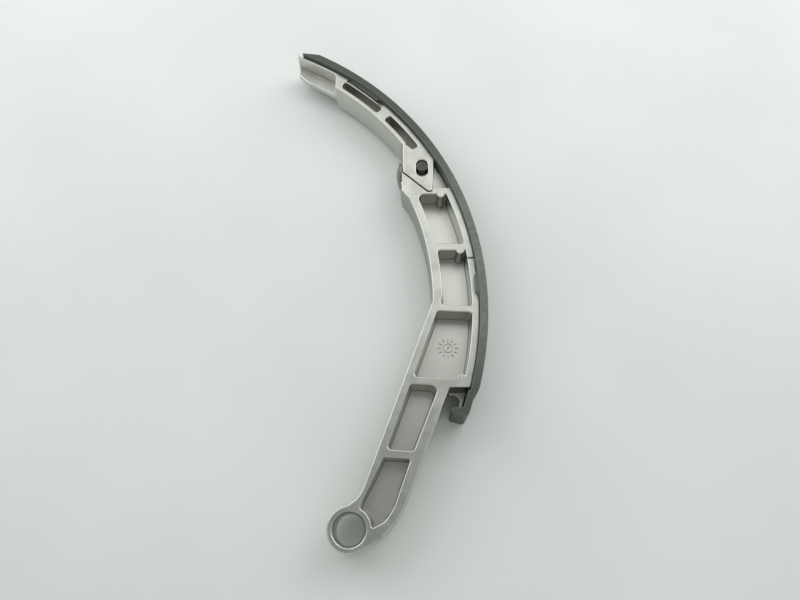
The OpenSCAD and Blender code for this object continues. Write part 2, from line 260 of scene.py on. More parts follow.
def colour_steps(node: bpy.types.Node, steps: Steps) -> None:
    """Set the stops of a colour ramp.

    Args:
        node: The colour ramp node.
        steps: Position and sRGB hex colour of each stop.
    """
    ramp = node.color_ramp
    while len(ramp.elements) < len(steps):
        ramp.elements.new(1.0)
    for element, (place, code) in zip(ramp.elements, steps):
        element.position = place
        element.color = linear(code)


def new_tree(name: str) -> tuple[bpy.types.Material, bpy.types.NodeTree]:
    """Make an empty node material.

    Args:
        name: The name of the material.

    Returns:
        The material and its node tree.
    """
    material = bpy.data.materials.new(name)
    material.use_nodes = True
    material.node_tree.nodes.clear()
    return material, material.node_tree


@dataclass(frozen=True)
class Noise:
    """A noise texture.

    Attributes:
        size_mm: Size of its largest features.
        detail: How many times it is refined.
        fine: How strong each finer layer is beside the one before.
    """

    size_mm: float
    detail: float
    fine: float = 0.5

    def settings(self) -> dict[str | int, object]:
        """Give the settings of its node."""
        return {"Scale": 1 / (self.size_mm * MM), "Detail": self.detail, "Roughness": self.fine}


@dataclass(frozen=True)
class Finish:
    """What the finishes of the part share: a colour, a roughness and a bump that follow noise.

    Attributes:
        name: The name of the material.
        skin: The colours of the surface, by the values of its noise.
        rubbed: The colour of worn edges.
        roughness: The least and the most roughness.
        bump_mm: Height of the bump.
        bump_strength: How much of the bump shows.
    """

    name: str
    skin: Steps
    rubbed: str
    roughness: tuple[float, float]
    bump_mm: float
    bump_strength: float

    def _layers(
        self,
        tree: bpy.types.NodeTree,
        noise: bpy.types.Node,
        layers: list[tuple[bpy.types.NodeSocket | str, str]],
    ) -> bpy.types.NodeSocket:
        """Lay colours over the skin.

        Args:
            tree: The node tree of the material.
            noise: The noise that the colours of the skin follow.
            layers: For each colour its share, as a socket or the name of a mesh attribute, and its hex code.

        Returns:
            The colour of all layers together.
        """
        skin = add_node(tree, "ShaderNodeValToRGB", links={"Fac": noise.outputs["Fac"]})
        colour_steps(skin, self.skin)
        colour = skin.outputs["Color"]
        for share, code in layers:
            if isinstance(share, str):
                share = add_node(tree, "ShaderNodeAttribute", {"attribute_name": share}).outputs["Fac"]
            colour = add_node(
                tree, "ShaderNodeMix",
                {"data_type": "RGBA", MIX_OVER: linear(code)},
                {"Factor": share, MIX_BASE: colour},
            ).outputs[MIX_RESULT]
        return colour

    def _surface(
        self,
        tree: bpy.types.NodeTree,
        colour: bpy.types.NodeSocket,
        sheen: bpy.types.Node,
        relief: bpy.types.Node,
        settings: dict[str | int, object],
    ) -> None:
        """Add the roughness, the bump, the shader and the output.

        Args:
            tree: The node tree of the material.
            colour: The colour of the surface.
            sheen: The noise that the roughness follows.
            relief: The noise that the bump follows.
            settings: Values of the shader's other sockets.
        """
        matt = add_node(
            tree, "ShaderNodeMapRange",
            {
                "From Min": NOISE_SPREAD[0], "From Max": NOISE_SPREAD[1],
                "To Min": self.roughness[0], "To Max": self.roughness[1],
            },
            {"Value": sheen.outputs["Fac"]},
        )
        bump = add_node(
            tree, "ShaderNodeBump",
            {"Strength": self.bump_strength, "Distance": self.bump_mm * MM},
            {"Height": relief.outputs["Fac"]},
        )
        shader = add_node(
            tree, "ShaderNodeBsdfPrincipled", settings,
            {"Base Color": colour, "Roughness": matt.outputs["Result"], "Normal": bump.outputs["Normal"]},
        )
        add_node(tree, "ShaderNodeOutputMaterial", links={"Surface": shader.outputs["BSDF"]})


@dataclass(frozen=True)
class TumbledCastAluminium(Finish):
    """Die-cast aluminium, tumbled in stone media.

    The melt freezes against the die to a fine matt skin, so lights spread into broad soft
    gradients. Tumbling leaves rubbed edges and cloudy blotches. The walls are painted darker or
    paler by which way they face, and the pocket floors lighter, as painted light and shade. The
    walls that face another wall and the inner fillets are painted darker, as painted shade.
    """

    name: str = "tumbled_cast_aluminium"
    skin: Steps = ((0.34, "#bec0b9"), (0.66, "#d6d7d0"))
    rubbed: str = "#dadbd4"
    roughness: tuple[float, float] = (0.32, 0.44)
    bump_mm: float = 0.035
    bump_strength: float = 0.6
    # Painted shade in the inner fillets, where the corners fall in shade
    crease_shade: str = "#767872"
    # Painted light: the pocket floors are painted lighter against the shade they lie in
    floor_light_tone: str = "#d8d9d2"
    # Painted shade or light on the walls, by how far they face sideways
    wall_light_tone: str = "#aeb0a9"
    # Painted shade on the walls that face another wall, such as a pocket's
    pocket_wall_tone: str = "#b6b8b1"
    # How far from the middle of the web the painted light of the floors is full, and where it ends
    floor_mm: tuple[float, float] = (2.2, 5.0)
    blotch: Noise = Noise(9.0, 5.0, 0.62)
    # The real grain is near 0.2 mm and wouldn't show, so it is drawn coarser
    grain: Noise = Noise(0.9, 3.0, 0.7)

    def material(self) -> bpy.types.Material:
        """Build the node material.

        Returns:
            The finished material.
        """
        material, tree = new_tree(self.name)
        place = add_node(tree, "ShaderNodeTexCoord").outputs["Object"]
        blotch = add_node(tree, "ShaderNodeTexNoise", self.blotch.settings(), {"Vector": place})
        grain = add_node(tree, "ShaderNodeTexNoise", self.grain.settings(), {"Vector": place})
        height = add_node(tree, "ShaderNodeSeparateXYZ", links={"Vector": place}).outputs["Z"]
        beside = add_node(tree, "ShaderNodeMath", {"operation": "SUBTRACT", 1: WEB_MM * MM}, {0: height})
        far = add_node(tree, "ShaderNodeMath", {"operation": "ABSOLUTE"}, {0: beside.outputs["Value"]})
        deep = add_node(
            tree, "ShaderNodeMapRange",
            {
                "From Min": self.floor_mm[0] * MM, "From Max": self.floor_mm[1] * MM,
                "To Min": 1.0, "To Max": 0.0,
            },
            {"Value": far.outputs["Value"]},
        )
        facing = add_node(tree, "ShaderNodeNewGeometry").outputs["Normal"]
        level = add_node(tree, "ShaderNodeSeparateXYZ", links={"Vector": facing}).outputs["Z"]
        flat = add_node(tree, "ShaderNodeMath", {"operation": "ABSOLUTE"}, {0: level})
        wall = add_node(
            tree, "ShaderNodeMapRange",
            {"To Min": 1.0, "To Max": 0.0},
            {"Value": flat.outputs["Value"]},
        )
        low = add_node(
            tree, "ShaderNodeMath",
            {"operation": "MULTIPLY"},
            {0: deep.outputs["Result"], 1: flat.outputs["Value"]},
        )
        # Painted light and shade: walls by which way they face, pocket floors lighter, pocket walls and inner
        # fillets darker
        colour = self._layers(tree, blotch, [
            (wall.outputs["Result"], self.wall_light_tone),
            (low.outputs["Value"], self.floor_light_tone),
            (INNER_WALL, self.pocket_wall_tone),
            (Bend.OUTWARD.mark(), self.rubbed),
            (Bend.INWARD.mark(), self.crease_shade),
        ])
        self._surface(tree, colour, grain, grain, {"Metallic": 1.0})
        return material


@dataclass(frozen=True)
class MouldedNylon(Finish):
    """Glass-filled nylon, injection moulded.

    The fill leaves a dark, slightly green grey with a satin sheen, faint flow streaks and
    edges that have rubbed paler. Both ends are painted darker, as painted shade.
    """

    name: str = "moulded_glass_filled_nylon"
    skin: Steps = ((0.35, "#666a65"), (0.68, "#7b807a"))
    rubbed: str = "#858b84"
    roughness: tuple[float, float] = (0.40, 0.58)
    bump_mm: float = 0.03
    bump_strength: float = 0.5
    end_shade: str = "#4c504b"
    # Where along Y the painted shade of the ends starts and where it is full, towards the tail and towards
    # the tip
    shade_from_mm: tuple[float, float] = (110.0, 190.0)
    shade_full_mm: tuple[float, float] = (70.0, 245.0)
    refraction: float = 1.53
    streak: Noise = Noise(3.5, 4.0, 0.6)
    # Glass ends are near 0.05 mm and wouldn't show, so the grain is drawn coarser
    grain: Noise = Noise(0.7, 2.0)

    def material(self) -> bpy.types.Material:
        """Build the node material.

        Returns:
            The finished material.
        """
        material, tree = new_tree(self.name)
        place = add_node(tree, "ShaderNodeTexCoord").outputs["Object"]
        streak = add_node(tree, "ShaderNodeTexNoise", self.streak.settings(), {"Vector": place})
        grain = add_node(tree, "ShaderNodeTexNoise", self.grain.settings(), {"Vector": place})
        along = add_node(tree, "ShaderNodeSeparateXYZ", links={"Vector": place}).outputs["Y"]
        ends = [
            add_node(
                tree, "ShaderNodeMapRange",
                {"From Min": fade_start * MM, "From Max": fade_full * MM, "To Min": 0.0, "To Max": 1.0},
                {"Value": along},
            )
            for fade_start, fade_full in zip(self.shade_from_mm, self.shade_full_mm)
        ]
        either = add_node(
            tree, "ShaderNodeMath",
            {"operation": "MAXIMUM"},
            {0: ends[0].outputs["Result"], 1: ends[1].outputs["Result"]},
        )
        # The ends are painted darker, as painted shade
        colour = self._layers(tree, streak, [
            (either.outputs["Value"], self.end_shade),
            (Bend.OUTWARD.mark(), self.rubbed),
        ])
        self._surface(tree, colour, streak, grain, {"IOR": self.refraction})
        return material


@dataclass(frozen=True)
class BlackenedSteel(Finish):
    """Hardened steel, blackened in hot oil.

    The oxide makes a dark grey metal with a dull oily gloss that wears to a lighter grey on
    its edges.
    """

    name: str = "blackened_hardened_steel"
    skin: Steps = ((0.35, "#868886"), (0.7, "#a0a3a0"))
    rubbed: str = "#b8bbb7"
    roughness: tuple[float, float] = (0.34, 0.5)
    bump_mm: float = 0.015
    bump_strength: float = 0.4
    cloud: Noise = Noise(2.5, 5.0, 0.6)

    def material(self) -> bpy.types.Material:
        """Build the node material.

        Returns:
            The finished material.
        """
        material, tree = new_tree(self.name)
        place = add_node(tree, "ShaderNodeTexCoord").outputs["Object"]
        cloud = add_node(tree, "ShaderNodeTexNoise", self.cloud.settings(), {"Vector": place})
        colour = self._layers(tree, cloud, [(Bend.OUTWARD.mark(), self.rubbed)])
        self._surface(tree, colour, cloud, cloud, {"Metallic": 1.0})
        return material


@dataclass(frozen=True)
class MattPaper:
    """Uncoated paper board for the table.

    It scatters light evenly, with a faint cloudiness of the pulp.
    """

    name: str = "matt_paper_board"
    skin: Steps = ((0.35, "#f1f3f2"), (0.65, "#f6f8f7"))
    roughness: float = 0.9
    specular: float = 0.2
    cloud: Noise = Noise(120.0, 3.0)

    def material(self) -> bpy.types.Material:
        """Build the node material.

        Returns:
            The finished material.
        """
        material, tree = new_tree(self.name)
        place = add_node(tree, "ShaderNodeTexCoord").outputs["Object"]
        cloud = add_node(tree, "ShaderNodeTexNoise", self.cloud.settings(), {"Vector": place})
        tone = add_node(tree, "ShaderNodeValToRGB", links={"Fac": cloud.outputs["Fac"]})
        colour_steps(tone, self.skin)
        shader = add_node(
            tree, "ShaderNodeBsdfPrincipled",
            {"Roughness": self.roughness, "Specular IOR Level": self.specular},
            {"Base Color": tone.outputs["Color"]},
        )
        add_node(tree, "ShaderNodeOutputMaterial", links={"Surface": shader.outputs["BSDF"]})
        return material


def link(obj: bpy.types.Object) -> bpy.types.Object:
    """Put an object into the scene."""
    bpy.context.scene.collection.objects.link(obj)
    return obj


def cut_through(work: bmesh.types.BMesh, point: Vector, normal: Vector) -> list[bmesh.types.BMEdge]:
    """Part the faces of a mesh along a plane, with both sides kept.

    Args:
        work: The mesh.
        point: A point of the plane, in metres.
        normal: The normal of the plane.

    Returns:
        The edges that lie on the plane.
    """
    parts = work.verts[:] + work.edges[:] + work.faces[:]
    made = bmesh.ops.bisect_plane(work, geom=parts, dist=ON_PLANE, plane_co=point, plane_no=normal)
    return [part for part in made["geom_cut"] if isinstance(part, bmesh.types.BMEdge)]


def clean_copy(node: str, name: str, cuts: tuple[Cut, ...] = ()) -> bpy.types.Object:
    """Copy a CAD node as a welded mesh with whole flat faces.

    Args:
        node: The CAD node.
        name: The name of the new piece.
        cuts: Planes that part the faces around a hole, so that no face has a hole in it.

    Returns:
        The new object, at the node's place.
    """
    source = frame["nodes"][node].data
    mesh = bpy.data.meshes.new(name)
    mesh.from_pydata([v.co[:] for v in source.vertices], [], [p.vertices[:] for p in source.polygons])
    work = bmesh.new()
    work.from_mesh(mesh)
    bmesh.ops.remove_doubles(work, verts=work.verts, dist=WELD_MM * MM)
    bmesh.ops.recalc_face_normals(work, faces=work.faces)
    for cut in cuts:
        for edge in cut_through(work, cut.point(), cut.normal()):
            edge.seam = True
    bmesh.ops.dissolve_limit(
        work, angle_limit=math.radians(FLAT_DEG), verts=work.verts, edges=work.edges, delimit={"SEAM"}
    )
    work.to_mesh(mesh)
    work.free()
    return link(bpy.data.objects.new(name, mesh))


def bake(obj: bpy.types.Object) -> None:
    """Make the result of an object's modifiers its own mesh.

    Args:
        obj: The object, which keeps no modifiers.
    """
    bpy.context.view_layer.update()
    graph = bpy.context.evaluated_depsgraph_get()
    mesh = bpy.data.meshes.new_from_object(obj.evaluated_get(graph))
    old = obj.data
    obj.modifiers.clear()
    obj.data = mesh
    bpy.data.meshes.remove(old)


def turn_at(loop: bmesh.types.BMLoop, chosen: set[bmesh.types.BMEdge]) -> float:
    """Measure how sharply a face turns between two rounded edges.

    Args:
        loop: The corner of the face.
        chosen: The edges that are rounded.

    Returns:
        The tangent of half the turn, or 0 when one of the two edges stays sharp.
    """
    before = loop.link_loop_prev
    if loop.edge not in chosen or before.edge not in chosen:
        return 0.0
    old = (loop.vert.co - before.vert.co).normalized()
    new = (loop.link_loop_next.vert.co - loop.vert.co).normalized()
    return math.tan(math.atan2(old.cross(new).dot(loop.face.normal), old.dot(new)) / 2)


def fitting_width(loop: bmesh.types.BMLoop, chosen: set[bmesh.types.BMEdge]) -> float:
    """Find how wide a round fits onto a face beside one of its edges.

    Args:
        loop: The corner of the face where the edge starts.
        chosen: The edges that are rounded.

    Returns:
        The width in metres: less than half of the way to the edge across, and less than the
        width at which the rounds of its neighbours would meet.
    """
    start, end = loop.vert.co, loop.link_loop_next.vert.co
    along = (end - start).normalized()
    across = loop.face.normal.cross(along)
    width = math.inf
    for share in ROOM_AT:
        foot = start.lerp(end, share)
        for other in loop.face.edges:
            a, b = (v.co - foot for v in other.verts)
            before, after = a.dot(along), b.dot(along)
            if other != loop.edge and before * after < 0:
                reach = a.lerp(b, before / (before - after)).dot(across)
                if reach > 0:
                    width = min(width, ROOM_SHARE * reach)
    narrowing = turn_at(loop, chosen) + turn_at(loop.link_loop_next, chosen)
    if narrowing > 0:
        width = min(width, CORNER_SHARE * loop.edge.calc_length() / narrowing)
    return width


def weigh_edges(work: bmesh.types.BMesh, style: Round) -> None:
    """Weigh the edges to round by the share of the width that fits there, and all others with 0.

    Args:
        work: The mesh of the piece.
        style: How the edges are rounded.
    """
    weight = work.edges.layers.float.get("bevel_weight_edge")
    if weight is None:
        weight = work.edges.layers.float.new("bevel_weight_edge")
    chosen: set[bmesh.types.BMEdge] = set()
    for edge in work.edges:
        way = (edge.verts[1].co - edge.verts[0].co).normalized()
        turn = edge.calc_face_angle_signed(0.0) * style.bend.value
        if turn > math.radians(style.least_deg) and (style.upright or abs(way.z) < LEVEL_PART):
            chosen.add(edge)
    for edge in work.edges:
        fit = min(fitting_width(loop, chosen) for loop in edge.link_loops) if edge in chosen else 0.0
        behind = all(vert.co.z < WEB_MM * MM for vert in edge.verts)
        edge[weight] = min(style.back_share if behind else 1.0, fit / (style.width_mm * MM))


def mark_rounds(mesh: bpy.types.Mesh, label: str) -> None:
    """Mark the vertices in the middle of new rounds, and give the rounds the slot of other faces.

    Args:
        mesh: The mesh, whose new rounds have a slot of their own.
        label: The name of the mark.
    """
    on_round = [1.0] * len(mesh.vertices)
    for polygon in mesh.polygons:
        if polygon.material_index != ROUND_SLOT:
            for index in polygon.vertices:
                on_round[index] = 0.0
        polygon.material_index = 0
    mark = mesh.attributes.get(label) or mesh.attributes.new(label, "FLOAT", "POINT")
    mark.data.foreach_set("value", on_round)


def round_edges(obj: bpy.types.Object, style: Round) -> None:
    """Round the edges that turn one way, and mark the middle of each round for its finish.

    Args:
        obj: The piece.
        style: How the edges are rounded.
    """
    work = bmesh.new()
    work.from_mesh(obj.data)
    weigh_edges(work, style)
    work.to_mesh(obj.data)
    work.free()
    while len(obj.data.materials) <= ROUND_SLOT:
        obj.data.materials.append(None)
    bevel = obj.modifiers.new("round", "BEVEL")
    bevel.limit_method = "WEIGHT"
    bevel.width = style.width_mm * MM
    bevel.segments = style.segments
    bevel.use_clamp_overlap = False
    bevel.loop_slide = False
    bevel.material = ROUND_SLOT
    bake(obj)
    mark_rounds(obj.data, style.bend.mark())


def foot_moves(work: bmesh.types.BMesh, draft: Draft) -> dict[bmesh.types.BMVert, Vector]:
    """Find how far each foot of the deep pockets' walls can move in.

    Args:
        work: The mesh of the piece, with its rounds.
        draft: How the walls lean.

    Returns:
        The move of each foot, in metres.
    """
    tree = BVHTree.FromBMesh(work)
    down = Vector((0.0, 0.0, -1.0))
    level = Vector((1.0, 1.0, 0.0))
    moves: dict[bmesh.types.BMVert, Vector] = {}
    for vert in work.verts:
        side = sum((face.normal for face in vert.link_faces), Vector()) * level
        at_foot = FLOOR_MM - draft.near_mm < vert.co.z / MM < FLOOR_MM + draft.foot_mm
        if not at_foot or side.length < draft.least_side:
            continue
        side.normalize()
        ahead = Vector((vert.co.x, vert.co.y, draft.look_mm * MM)) + side * draft.ahead_mm * MM
        below = tree.ray_cast(ahead, down)[0]
        room = tree.ray_cast(ahead, side)[3]
        if below is not None and abs(below.z / MM - FLOOR_MM) < draft.near_mm and room is not None:
            moves[vert] = side * min(draft.lean_mm * MM, draft.room_share * room)
    return moves


def lean_walls(obj: bpy.types.Object, draft: Draft) -> None:
    """Lean the walls of the deep pockets by moving their feet in.

    Args:
        obj: The piece, with its rounds.
        draft: How the walls lean.
    """
    work = bmesh.new()
    work.from_mesh(obj.data)
    moves = foot_moves(work, draft)
    folds: list[Vector] = []
    for edge in work.edges:
        a, b = edge.verts
        if a in moves and b in moves:
            along = b.co - a.co
            left = (along + moves[b] - moves[a]).dot(along)
            if left < draft.fold_share * along.length_squared:
                folds.append((a.co + b.co) / 2)
    for vert, move in moves.items():
        tight = any((vert.co - fold).length < draft.corner_mm * MM for fold in folds)
        vert.co += move * (draft.corner_share if tight else 1.0)
    work.to_mesh(obj.data)
    work.free()


def mark_walls(
    obj: bpy.types.Object, reach_mm: float = 60.0, bore_mm: float = 10.0, lift_mm: float = 0.05,
    wall_part: float = 0.3,
) -> None:
    """Mark the walls that face another wall, such as those of a pocket, and the bright bore.

    Args:
        obj: The piece, with its rounds.
        reach_mm: How far away the other wall may be.
        bore_mm: Walls nearer than this to the pivot are machined bright, like a rubbed edge.
        lift_mm: How far in front of a wall the look for another one starts.
        wall_part: Faces whose normal has a larger part along Z are no walls.
    """
    work = bmesh.new()
    work.from_mesh(obj.data)
    tree = BVHTree.FromBMesh(work)
    inner = [0.0] * len(work.verts)
    bright = obj.data.attributes[Bend.OUTWARD.mark()].data
    for face in work.faces:
        start = face.calc_center_median() + face.normal * lift_mm * MM
        if abs(face.normal.z) > wall_part:
            continue
        if start.xy.length < bore_mm * MM:
            for vert in face.verts:
                bright[vert.index].value = 1.0
        elif tree.ray_cast(start, face.normal, reach_mm * MM)[0]:
            for vert in face.verts:
                inner[vert.index] = 1.0
    work.free()
    # This mark carries the painted shade of the walls that face another wall
    mark = obj.data.attributes.new(INNER_WALL, "FLOAT", "POINT")
    mark.data.foreach_set("value", inner)


def smooth(obj: bpy.types.Object) -> None:
    """Shade a piece smoothly, with its large faces kept flat.

    Args:
        obj: The piece.
    """
    for polygon in obj.data.polygons:
        polygon.use_smooth = True
    normals = obj.modifiers.new("flat_faces", "WEIGHTED_NORMAL")
    normals.weight = FLAT_WEIGHT
    bake(obj)


def turned_rows(
    work: bmesh.types.BMesh, centre: Vector, section: list[tuple[float, float]], count: int
) -> list[list[bmesh.types.BMVert]]:
    """Turn the points of a section around an upright axis.

    Args:
        work: The mesh that gets the vertices.
        centre: The point of the axis from which heights are measured, in mm.
        section: Radius and height of each point, in mm.
        count: Number of vertices around the axis.

    Returns:
        A row of vertices around the axis for each point.
    """
    rows = []
    for radius, height in section:
        turns = [2 * math.pi * i / count for i in range(count)]
        around = [Vector((radius * math.cos(turn), radius * math.sin(turn), height)) for turn in turns]
        rows.append([work.verts.new((centre + point) * MM) for point in around])
    return rows


def join_rows(work: bmesh.types.BMesh, low: list[bmesh.types.BMVert], high: list[bmesh.types.BMVert]) -> None:
    """Add a closed band of faces between two rows of vertices.

    Args:
        work: The mesh that gets the faces.
        low: The first row.
        high: The second row, with as many vertices.
    """
    for i in range(len(low)):
        j = (i + 1) % len(low)
        work.faces.new((low[i], low[j], high[j], high[i]))


def new_piece(work: bmesh.types.BMesh, name: str) -> bpy.types.Object:
    """Make a piece of a finished mesh.

    Args:
        work: The mesh, which is freed.
        name: The name of the piece.

    Returns:
        The piece, in the scene.
    """
    bmesh.ops.recalc_face_normals(work, faces=work.faces)
    mesh = bpy.data.meshes.new(name)
    work.to_mesh(mesh)
    work.free()
    return link(bpy.data.objects.new(name, mesh))


def dress(obj: bpy.types.Object, material: bpy.types.Material) -> None:
    """Give a piece its finish.

    Args:
        obj: The piece.
        material: The finish.
    """
    obj.data.materials.clear()
    obj.data.materials.append(material)


@dataclass
class CastArm:
    """A cast arm: rounded outer edges, and pockets with fillets and draft."""

    node: str
    body: Body
    cuts: tuple[Cut, ...]
    fillet: Round = Round(Bend.INWARD, 0.5, segments=3, upright=False, back_share=0.4)
    # Chamfers are machined after casting, so their shallow edges stay crisp
    edge: Round = Round(Bend.OUTWARD, 0.7, segments=3, least_deg=50.0)
    draft: Draft = Draft()
    piece: bpy.types.Object | None = field(default=None, init=False)

    def build(self) -> bpy.types.Object:
        """Build the casting from its CAD solid.

        Returns:
            The piece that stands for the node.
        """
        self.piece = clean_copy(self.node, self.node + "_casting", self.cuts)
        round_edges(self.piece, self.fillet)
        round_edges(self.piece, self.edge)
        lean_walls(self.piece, self.draft)
        mark_walls(self.piece)
        smooth(self.piece)
        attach(self.piece, self.body.value)
        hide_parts(self.node)
        return self.piece

    def dress(self, finish: bpy.types.Material) -> None:
        """Give the casting its finish."""
        dress(self.piece, finish)


@dataclass
class SlideShoe:
    """The moulded strip that bends over the hinge.

    Attributes:
        node: The CAD node.
        edge: How its edges are rounded.
        rail_deg: How far the rail leans from the Y axis at the hinge.
        bend_mm: How far the bend reaches to each side of the hinge.
        bend_cuts: Number of cuts across the bend.
        piece: The finished piece.
    """

    node: str = "slide_shoe"
    edge: Round = Round(Bend.OUTWARD, 0.3)
    rail_deg: float = 27.8
    bend_mm: float = 4.0
    bend_cuts: int = 9
    piece: bpy.types.Object | None = field(default=None, init=False)

    def build(self) -> bpy.types.Object:
        """Build the shoe from its CAD solid, with cuts where it bends.

        Returns:
            The piece that stands for the node.
        """
        self.piece = clean_copy(self.node, "slide_shoe_moulding")
        round_edges(self.piece, self.edge)
        hinge = hinge_place()
        angle = math.radians(self.rail_deg)
        along = Vector((-math.sin(angle), math.cos(angle), 0.0))
        work = bmesh.new()
        work.from_mesh(self.piece.data)
        for i in range(self.bend_cuts):
            away = (2 * i / (self.bend_cuts - 1) - 1) * self.bend_mm * MM
            cut_through(work, hinge + along * away, along)
        work.to_mesh(self.piece.data)
        work.free()
        smooth(self.piece)
        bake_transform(self.piece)
        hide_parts(self.node)
        return self.piece

    def dress(self, finish: bpy.types.Material) -> None:
        """Give the shoe its finish."""
        dress(self.piece, finish)


@dataclass
class SteelPiece:
    """A turned steel piece: the hinge pin or the thrust button."""

    node: str
    label: str
    edge: Round = Round(Bend.OUTWARD, 0.25)
    piece: bpy.types.Object | None = field(default=None, init=False)

    def build(self) -> bpy.types.Object:
        """Build the piece from its CAD solid.

        Returns:
            The piece that stands for the node.
        """
        self.piece = clean_copy(self.node, self.label)
        round_edges(self.piece, self.edge)
        smooth(self.piece)
        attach(self.piece, Body.LOWER.value)
        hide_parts(self.node)
        return self.piece

    def dress(self, finish: bpy.types.Material) -> None:
        """Give the piece its finish."""
        dress(self.piece, finish)


@dataclass(frozen=True)
class Bar:
    """A raised bar that points out from a centre.

    Attributes:
        start: Distance of its inner end from the centre, in mm.
        end: Distance of its outer end from the centre, in mm.
        start_w: Width of its inner end, in mm.
        end_w: Width of its outer end, in mm.
    """

    start: float
    end: float
    start_w: float
    end_w: float


@dataclass
class DateDial:
    """A plain dial on a pocket floor: raised ticks around a ring with a pointer.

    Attributes:
        x_mm: Place of its centre along X.
        y_mm: Place of its centre along Y.
        height_mm: How far it stands above the floor.
        sink_mm: How far it reaches into the floor.
        ticks: Number of ticks.
        tick: The form of a tick.
        shaft: The form of the pointer's shaft.
        head: The form of the pointer's head.
        pointer_deg: Direction of the pointer.
        bar_top: Size of a bar's top as a share of its foot.
        ring_mm: Middle radius of the ring.
        ring_w_mm: Width of the ring's foot.
        ring_top: Width of the ring's top as a share of its foot.
        piece: The finished piece.
    """

    x_mm: float = 54.1
    y_mm: float = 100.0
    height_mm: float = 0.45
    sink_mm: float = 0.1
    ticks: int = 12
    tick: Bar = Bar(4.0, 6.1, 1.0, 0.7)
    shaft: Bar = Bar(-1.6, 0.5, 0.6, 0.6)
    head: Bar = Bar(0.4, 1.9, 1.6, 0.3)
    pointer_deg: float = 65.0
    bar_top: float = 0.8
    ring_mm: float = 2.7
    ring_w_mm: float = 0.7
    ring_top: float = 0.5
    piece: bpy.types.Object | None = field(default=None, init=False)

    def build(self) -> bpy.types.Object:
        """Build the ticks, the ring and the pointer.

        Returns:
            The dial, set into the pocket floor.
        """
        work = bmesh.new()
        for i in range(self.ticks):
            self._bar(work, 2 * math.pi * i / self.ticks, self.tick)
        self._ring(work)
        for bar in (self.shaft, self.head):
            self._bar(work, math.radians(self.pointer_deg), bar)
        self.piece = new_piece(work, "date_dial")
        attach(self.piece, Body.LOWER.value)
        return self.piece

    def _bar(self, work: bmesh.types.BMesh, turn: float, bar: Bar) -> None:
        """Add a raised bar that points out from the dial's centre.

        Args:
            work: The mesh that gets the bar.
            turn: Direction of the bar, in radians.
            bar: The form of the bar.
        """
        along = Vector((math.cos(turn), math.sin(turn), 0.0))
        side = Vector((-along.y, along.x, 0.0))
        outline = [
            along * bar.start - side * bar.start_w / 2, along * bar.end - side * bar.end_w / 2,
            along * bar.end + side * bar.end_w / 2, along * bar.start + side * bar.start_w / 2,
        ]
        foot = Vector((self.x_mm, self.y_mm, FLOOR_MM - self.sink_mm))
        top = Vector((self.x_mm, self.y_mm, FLOOR_MM + self.height_mm))
        middle = along * (bar.start + bar.end) / 2
        low = [work.verts.new((foot + p) * MM) for p in outline]
        high = [work.verts.new((top + middle + (p - middle) * self.bar_top) * MM) for p in outline]
        work.faces.new(high)
        work.faces.new(low[::-1])
        join_rows(work, low, high)

    def _ring(self, work: bmesh.types.BMesh, count: int = 40) -> None:
        """Add the raised ring around the pointer.

        Args:
            work: The mesh that gets the ring.
            count: Number of faces around the ring.
        """
        foot = self.ring_w_mm / 2
        top = foot * self.ring_top
        section = [
            (self.ring_mm - foot, -self.sink_mm), (self.ring_mm + foot, -self.sink_mm),
            (self.ring_mm + top, self.height_mm), (self.ring_mm - top, self.height_mm),
        ]
        rows = turned_rows(work, Vector((self.x_mm, self.y_mm, FLOOR_MM)), section, count)
        for low, high in zip(rows, rows[1:] + rows[:1]):
            join_rows(work, low, high)

    def dress(self, finish: bpy.types.Material) -> None:
        """Give the dial the finish of the casting."""
        dress(self.piece, finish)


@dataclass
class EjectorMark:
    """The round mark that an ejector pin leaves: a low disc with a raised rim.

    Attributes:
        label: The name of the piece.
        body: The body that it rides on.
        x_mm: Place of its centre along X.
        y_mm: Place of its centre along Y.
        z_mm: Height of the face that carries it.
        radius_mm: Its radius.
        height_mm: How far the rim stands above the face.
        sink_mm: How far the mark reaches into the face.
        disc_mm: How far the disc stands above the face.
        rim_from_mm: How far in from the radius the top of the rim starts.
        rim_to_mm: How far in from the radius the top of the rim ends.
        disc_from_mm: How far in from the radius the disc starts.
        piece: The finished piece.
    """

    label: str
    body: Body
    x_mm: float
    y_mm: float
    z_mm: float
    radius_mm: float = 1.8
    height_mm: float = 0.12
    sink_mm: float = 0.1
    disc_mm: float = 0.02
    rim_from_mm: float = 0.025
    rim_to_mm: float = 0.25
    disc_from_mm: float = 0.4
    piece: bpy.types.Object | None = field(default=None, init=False)

    def build(self, count: int = 36) -> bpy.types.Object:
        """Build the mark as a turned disc.

        Args:
            count: Number of faces around the mark.

        Returns:
            The mark, on the face that carries it.
        """
        section = [
            (self.radius_mm, -self.sink_mm),
            (self.radius_mm - self.rim_from_mm, self.height_mm),
            (self.radius_mm - self.rim_to_mm, self.height_mm),
            (self.radius_mm - self.disc_from_mm, self.disc_mm),
        ]
        work = bmesh.new()
        rows = turned_rows(work, Vector((self.x_mm, self.y_mm, self.z_mm)), section, count)
        for low, high in zip(rows, rows[1:]):
            join_rows(work, low, high)
        work.faces.new(rows[-1])
        work.faces.new(rows[0][::-1])
        self.piece = new_piece(work, self.label)
        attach(self.piece, self.body.value)
        return self.piece

    def dress(self, finish: bpy.types.Material) -> None:
        """Give the mark the finish of the casting."""
        dress(self.piece, finish)


